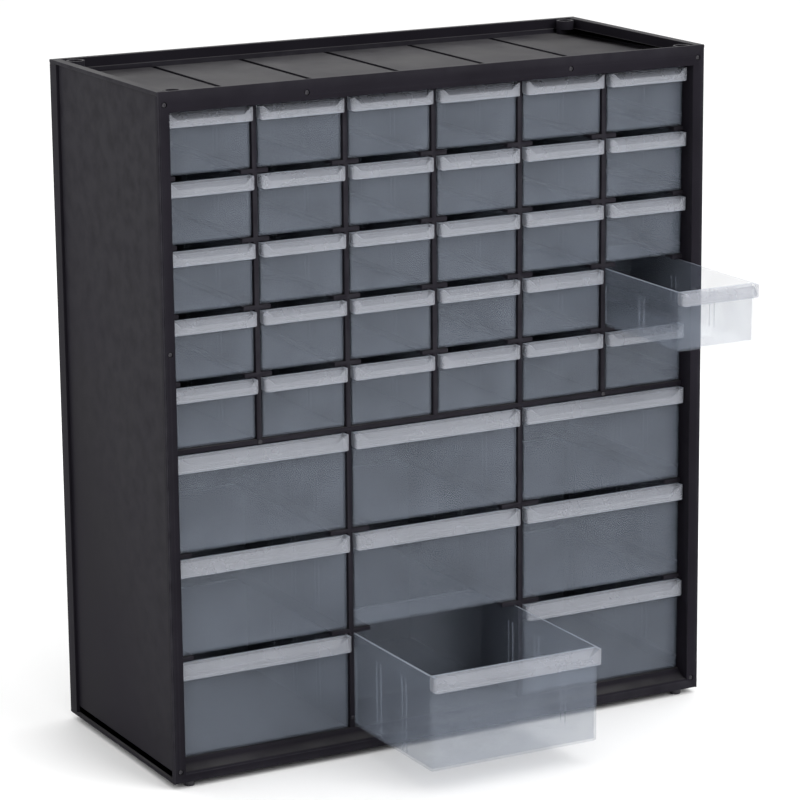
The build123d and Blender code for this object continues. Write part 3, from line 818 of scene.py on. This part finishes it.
class CABINET_OT_pins_and_screws(bpy.types.Operator):
    """Moulded pins on the front, screws at the back and round feet below"""

    bl_idname = "cabinet.pins_and_screws"
    bl_label = "Pins, screws and feet"

    def execute(self, context):
        sizes = context.scene.small_pieces
        finish = context.scene.cabinet_finish
        heads = [Vector(((low.x + high.x) / 2, low.y, (low.z + high.z) / 2))
                 for low, high in shells("front_pins")]
        pins = place_copies(model_pin(sizes), heads, "front_pins_piece")
        paint(pins, pin_black())
        hand_over(pins, "front_pins")

        heads = [Vector(((low.x + high.x) / 2, high.y, (low.z + high.z) / 2))
                 for low, high in shells("back_screws")]
        screws = place_copies(model_screw(sizes), heads, "back_screws_piece")
        paint(screws, screw_metal("zinc_plate", finish.steel))
        hand_over(screws, "back_screws")

        places = [Vector(((low.x + high.x) / 2, (low.y + high.y) / 2, low.z))
                  for low, high in shells("feet")]
        feet = place_copies(model_foot(sizes), places, "feet_piece")
        paint(feet, pin_black())
        hand_over(feet, "feet")
        return {"FINISHED"}


# ---------------------------------------- drawers

def lip_scoop(low, high, top, sizes):
    """The wedge that is cut from the lip's top, with slanted ends."""
    wall_front = low.y + sizes.lip_depth
    slope = sizes.crease_drop / sizes.lip_depth
    front = low.y - MM
    bottom = top - sizes.crease_drop - slope * MM
    middle = (low.x + high.x) / 2
    half = (high.x - low.x) / 2
    scoop = block("scoop", (middle - half, front, bottom), (middle + half, wall_front, top + MM))
    edit(scoop)
    pick(scoop, "VERT", lambda v: v.co.y > wall_front - NEAR and v.co.z < top)
    bpy.ops.transform.translate(value=(0, 0, top - bottom))
    hip_rate = (sizes.hip_end - sizes.hip_start) / sizes.crease_drop
    for level in (bottom, top, top + MM):
        wanted = half - sizes.hip_start - (top - level) * hip_rate
        pick(scoop, "VERT", lambda v: abs(v.co.z - level) < NEAR)
        bpy.ops.transform.resize(value=(wanted / half, 1, 1), center_override=(middle, 0, 0))
    edit_done()
    return scoop


def lip_hollow(low, high, top, sizes):
    """The room behind the lip's skirt, open below."""
    wall_front = low.y + sizes.lip_depth
    slope = sizes.crease_drop / sizes.lip_depth
    drop = sizes.lip_wall * math.sqrt(1 + slope ** 2)
    front = low.y + sizes.lip_wall
    rear_top = top - drop
    front_top = top - sizes.crease_drop + slope * sizes.lip_wall - drop
    hollow = block("hollow", (low.x + sizes.wall, front, top - sizes.lip_height - MM),
                   (high.x - sizes.wall, wall_front, rear_top))
    edit(hollow)
    pick(hollow, "VERT", lambda v: v.co.y < front + NEAR and v.co.z > rear_top - NEAR)
    bpy.ops.transform.translate(value=(0, 0, front_top - rear_top))
    edit_done()
    return hollow


def is_lip_corner(edge, front, foot):
    """True for the lip block's standing front edges and its lower edges from front to back."""
    first, second = (point.co for point in edge.verts)
    standing = abs(first.z - second.z) > MM and max(first.y, second.y) < front + NEAR
    lower = abs(first.y - second.y) > MM and max(first.z, second.z) < foot + NEAR
    return standing or lower


def sort_faces(body, low, high, top, sizes):
    """Give each face its material: 0 for the walls, 1 for rims and fine edges, which carry a painted
    highlight, 2 for the pull lip.
    """
    wall_front = low.y + sizes.lip_depth
    lip_foot = top - sizes.lip_height
    crease = top - sizes.crease_drop
    half = (high.x - low.x) / 2
    for face in body.data.polygons:
        fine = face_width(body.data, face) < THIN
        middle = face.center
        aside = abs(middle.x - (low.x + high.x) / 2)
        if middle.y < wall_front - THIN and middle.z > lip_foot - THIN:
            outer = middle.y < low.y + THIN or aside > half - THIN
            lower_edge = fine and outer and middle.z < crease - MM
            face.material_index = 1 if lower_edge else 2
            continue
        rim = face.normal.z > 0.9 and middle.z > top - THIN
        outside = (middle.y < wall_front + THIN or middle.y > high.y - 2 * THIN
                   or aside > half - 2 * THIN)
        # rims and fine outer edges get the painted highlight material
        face.material_index = 1 if rim or (fine and outside) else 0


def model_box(low, high, top, sizes):
    """The open box behind the lip, with sides that lean in towards the bottom."""
    wall_front = low.y + sizes.lip_depth
    middle = (low + high) / 2
    width, depth = high.x - low.x, high.y - wall_front
    body = block("drawer_body", (low.x, wall_front, low.z), (high.x, high.y, top))
    edit(body)
    pick(body, "VERT", lambda v: v.co.z < low.z + NEAR)
    bpy.ops.transform.resize(
        value=(1 - 2 * sizes.draft / width, 1 - 2 * sizes.draft / depth, 1),
        center_override=(middle.x, (wall_front + high.y) / 2, low.z))
    pick(body, "EDGE", lambda e: min(v.co.z for v in e.verts) < low.z + NEAR)
    bpy.ops.mesh.bevel(offset=sizes.corner_round, segments=4, affect="EDGES")
    pick(body, "FACE", lambda f: f.normal.z > 0.9 and f.calc_center_median().z > top - NEAR)
    bpy.ops.mesh.delete(type="FACE")
    edit_done()
    finish_modifier(body, "SOLIDIFY", thickness=sizes.wall, offset=-1.0, use_even_offset=True,
                    use_rim=True)
    return body


def model_lip(low, high, top, sizes):
    """The pull lip: a block with rounded corners, a scooped top and a room behind its skirt."""
    foot = top - sizes.lip_height
    rear = low.y + sizes.lip_depth + LIP_ROOT * sizes.wall
    lip = block("lip", (low.x, low.y, foot), (high.x, rear, top))
    edit(lip)
    pick(lip, "EDGE", lambda e: is_lip_corner(e, low.y, foot))
    bpy.ops.mesh.bevel(offset=sizes.lip_corner_round, segments=5, affect="EDGES")
    edit_done()
    combine(lip, lip_scoop(low, high, top, sizes), "DIFFERENCE")
    combine(lip, lip_hollow(low, high, top, sizes), "DIFFERENCE")
    return lip


def model_ribs(low, high, top, sizes):
    """Pairs of ribs inside both side walls, set a little way into the walls and the floor."""
    middle, half = (low + high) / 2, (high.x - low.x) / 2
    first = low.y + sizes.lip_depth + sizes.first_ribs
    foot = low.z + sizes.wall - RIB_FOOT * sizes.wall
    ribs = []
    for number in range(sizes.rib_pairs):
        for step in (-0.5, 0.5):
            y = first + number * sizes.rib_step + step * sizes.rib_spacing
            for side in (-1, 1):
                inner = middle.x + side * (half - sizes.wall - sizes.rib_depth)
                outer = middle.x + side * (half - (1 - RIB_ROOT) * sizes.wall)
                ribs.append(block("rib", (min(inner, outer), y - sizes.rib_width / 2, foot),
                                  (max(inner, outer), y + sizes.rib_width / 2, top - sizes.rib_drop)))
    return join(*ribs)


def model_lugs(low, high, top, sizes):
    """A stop lug on the top of each side wall, which reaches down into the wall."""
    middle, half = (low + high) / 2, (high.x - low.x) / 2
    front = high.y - sizes.lug_from_rear
    lugs = []
    for side in (-1, 1):
        outer = middle.x + side * (half - sizes.lug_inset)
        inner = middle.x + side * (half - sizes.wall + sizes.lug_inset)
        lugs.append(block("lug", (min(inner, outer), front, top - MM),
                          (max(inner, outer), front + sizes.lug_length, high.z)))
    return join(*lugs)


def model_drawer(node_name, sizes):
    """One drawer, modelled where the frame has it: a tapered box, pull lip, ribs and lugs."""
    low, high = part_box(node_name)
    top = high.z - sizes.lug_height
    body = model_box(low, high, top, sizes)
    combine(body, model_lip(low, high, top, sizes), "UNION")
    combine(body, model_ribs(low, high, top, sizes), "UNION")
    combine(body, model_lugs(low, high, top, sizes), "UNION")
    edit(body)
    bpy.ops.mesh.select_all(action="SELECT")
    bpy.ops.mesh.remove_doubles(threshold=TINY)
    bpy.ops.mesh.dissolve_limited(angle_limit=FLAT)
    # the rim runs all the way round, so it is divided twice to stay free of a hole
    middle = (low + high) / 2
    divide(middle, (1, 0, 0))
    divide(middle, (0, 1, 0))
    edit_done()
    round_edges(body, sizes.edge_round, shortest=1.2 * MM)
    paint(body, *drawer_materials())
    sort_faces(body, low, high, top, sizes)
    return body


def fill_places(kind, model, model_node):
    """Copies of the modelled drawer in every place of its kind."""
    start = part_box(model_node)[0]
    for name in sorted(frame["nodes"]):
        if not name.startswith(kind + "_drawer_"):
            continue
        mesh = model.data.copy()
        mesh.transform(Matrix.Translation(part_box(name)[0] - start))
        piece = bpy.data.objects.new(name + "_piece", mesh)
        bpy.context.scene.collection.objects.link(piece)
        hand_over(piece, name, body=name.replace("_drawer", ""))
    bpy.data.meshes.remove(model.data)


class CABINET_OT_small_drawers(bpy.types.Operator):
    """The thirty small drawers"""

    bl_idname = "cabinet.small_drawers"
    bl_label = "Small drawers"

    def execute(self, context):
        first = "small_drawer_r1_c1"
        fill_places("small", model_drawer(first, context.scene.small_drawer), first)
        return {"FINISHED"}


class CABINET_OT_large_drawers(bpy.types.Operator):
    """The nine large drawers"""

    bl_idname = "cabinet.large_drawers"
    bl_label = "Large drawers"

    def execute(self, context):
        first = "large_drawer_r1_c1"
        fill_places("large", model_drawer(first, context.scene.large_drawer), first)
        return {"FINISHED"}


# ---------------------------------------- floor, light and camera

CAMERA_PLACE = Vector((-1022.12, -1924.20, 739.01)) * MM
CAMERA_TARGET = Vector((9.30, -3.1, 206.49)) * MM
CAMERA_ROLL = math.radians(-0.531)
CAMERA_LENS = 156.81
SENSOR_WIDTH = 36.0      # millimetres, as the lens
CLIP_NEAR, CLIP_FAR = 0.05, 200.0
WORLD_FRONT = 0.55       # the white surroundings' strength on the camera's side
WORLD_BACK = 1.45        # and behind the cabinet
FLOOR_SIZE = 60
FLOOR_CUTS = 6
CLEAR_LAYERS = 32        # how many translucent surfaces a ray may pass
LIGHTS = (               # name, place, what it looks at, size and power
    ("key_light", (1.0, -2.4, 1.9), (0, 0, 0.2), (1.8, 1.8), 50),
    ("rear_light", (0.3, 2.6, 1.7), (0, 0, 0.3), (2.6, 1.2), 10),
    ("top_light", (0.2, -1.0, 2.8), (0.1, -0.6, 0), (2.4, 2.4), 26))


def soft_light(name, place, target, size, power):
    """A rectangular light at a place, turned to its target."""
    deselect()
    bpy.ops.object.light_add(type="AREA", location=place)
    lamp = bpy.context.object
    lamp.name = name
    lamp.data.shape = "RECTANGLE"
    lamp.data.size, lamp.data.size_y = size
    lamp.data.energy = power
    aim = (Vector(target) - Vector(place)).to_track_quat("-Z", "Y")
    lamp.rotation_euler = aim.to_euler()


def studio_world():
    """Even white light, stronger from behind the cabinet than from the front."""
    world = bpy.data.worlds.new("soft_studio")
    world.use_nodes = True
    tree = world.node_tree
    background = tree.nodes["Background"]
    background.inputs["Color"].default_value = (1.0, 1.0, 1.0, 1.0)
    parts = tree.nodes.new("ShaderNodeSeparateXYZ")
    tree.links.new(tree.nodes.new("ShaderNodeTexCoord").outputs["Generated"], parts.inputs[0])
    strength = spread(tree, parts.outputs["Y"], -0.7, 0.8, WORLD_FRONT, WORLD_BACK)
    tree.links.new(strength, background.inputs["Strength"])
    return world


class CABINET_OT_stage(bpy.types.Operator):
    """Pale floor, soft light and the camera"""

    bl_idname = "cabinet.stage"
    bl_label = "Floor, light and camera"

    def execute(self, context):
        scene = context.scene
        deselect()
        bpy.ops.mesh.primitive_plane_add(size=FLOOR_SIZE, location=(0, 0, 0))
        floor = context.object
        floor.name = "floor"
        edit(floor)
        bpy.ops.mesh.subdivide(number_cuts=FLOOR_CUTS)
        edit_done()
        paint(floor, floor_paint("floor_white", scene.cabinet_finish.floor))

        scene.world = studio_world()
        for light in LIGHTS:
            soft_light(*light)

        deselect()
        bpy.ops.object.camera_add(location=CAMERA_PLACE)
        camera = context.object
        forward = (CAMERA_TARGET - CAMERA_PLACE).normalized()
        right = forward.cross(Vector((0, 0, 1))).normalized()
        up = right.cross(forward)
        turned_right = math.cos(CAMERA_ROLL) * right + math.sin(CAMERA_ROLL) * up
        turned_up = math.cos(CAMERA_ROLL) * up - math.sin(CAMERA_ROLL) * right
        turn = Matrix((turned_right, turned_up, -forward)).transposed().to_4x4()
        camera.matrix_world = Matrix.Translation(CAMERA_PLACE) @ turn
        camera.data.sensor_width = SENSOR_WIDTH
        camera.data.lens = CAMERA_LENS
        camera.data.clip_start, camera.data.clip_end = CLIP_NEAR, CLIP_FAR
        scene.camera = camera
        scene.view_settings.view_transform = "Standard"
        scene.cycles.transparent_max_bounces = CLEAR_LAYERS
        return {"FINISHED"}


class CABINET_PT_panel(bpy.types.Panel):
    """Lists the pieces that can be built"""

    bl_idname = "CABINET_PT_panel"
    bl_label = "Drawer cabinet"
    bl_space_type = "VIEW_3D"
    bl_region_type = "UI"
    bl_category = "Cabinet"

    def draw(self, context):
        for operator in OPERATORS:
            self.layout.operator(operator.bl_idname)
        for group in GROUPS:
            box = self.layout.box()
            settings = getattr(context.scene, group)
            for name in settings.bl_rna.properties.keys():
                if name not in ("rna_type", "name"):
                    box.prop(settings, name)


OPERATORS = (CABINET_OT_front_frame, CABINET_OT_side_panels, CABINET_OT_top_panel,
             CABINET_OT_inner_panels, CABINET_OT_pins_and_screws, CABINET_OT_small_drawers,
             CABINET_OT_large_drawers, CABINET_OT_stage)
GROUPS = {"cabinet_sizes": CabinetSizes, "small_pieces": SmallPieces, "small_drawer": SmallDrawer,
          "large_drawer": LargeDrawer, "cabinet_finish": CabinetFinish}


def register():
    for group in GROUPS.values():
        bpy.utils.register_class(group)
    for name, group in GROUPS.items():
        setattr(bpy.types.Scene, name, bpy.props.PointerProperty(type=group))
    for operator in OPERATORS:
        bpy.utils.register_class(operator)
    bpy.utils.register_class(CABINET_PT_panel)


def unregister():
    bpy.utils.unregister_class(CABINET_PT_panel)
    for operator in reversed(OPERATORS):
        bpy.utils.unregister_class(operator)
    for name in GROUPS:
        delattr(bpy.types.Scene, name)
    for group in reversed(GROUPS.values()):
        bpy.utils.unregister_class(group)


def main():
    register()
    bpy.ops.cabinet.front_frame()
    bpy.ops.cabinet.side_panels()
    bpy.ops.cabinet.top_panel()
    bpy.ops.cabinet.inner_panels()
    bpy.ops.cabinet.pins_and_screws()
    bpy.ops.cabinet.small_drawers()
    bpy.ops.cabinet.large_drawers()
    bpy.ops.cabinet.stage()


if __name__ == "__main__":
    main()
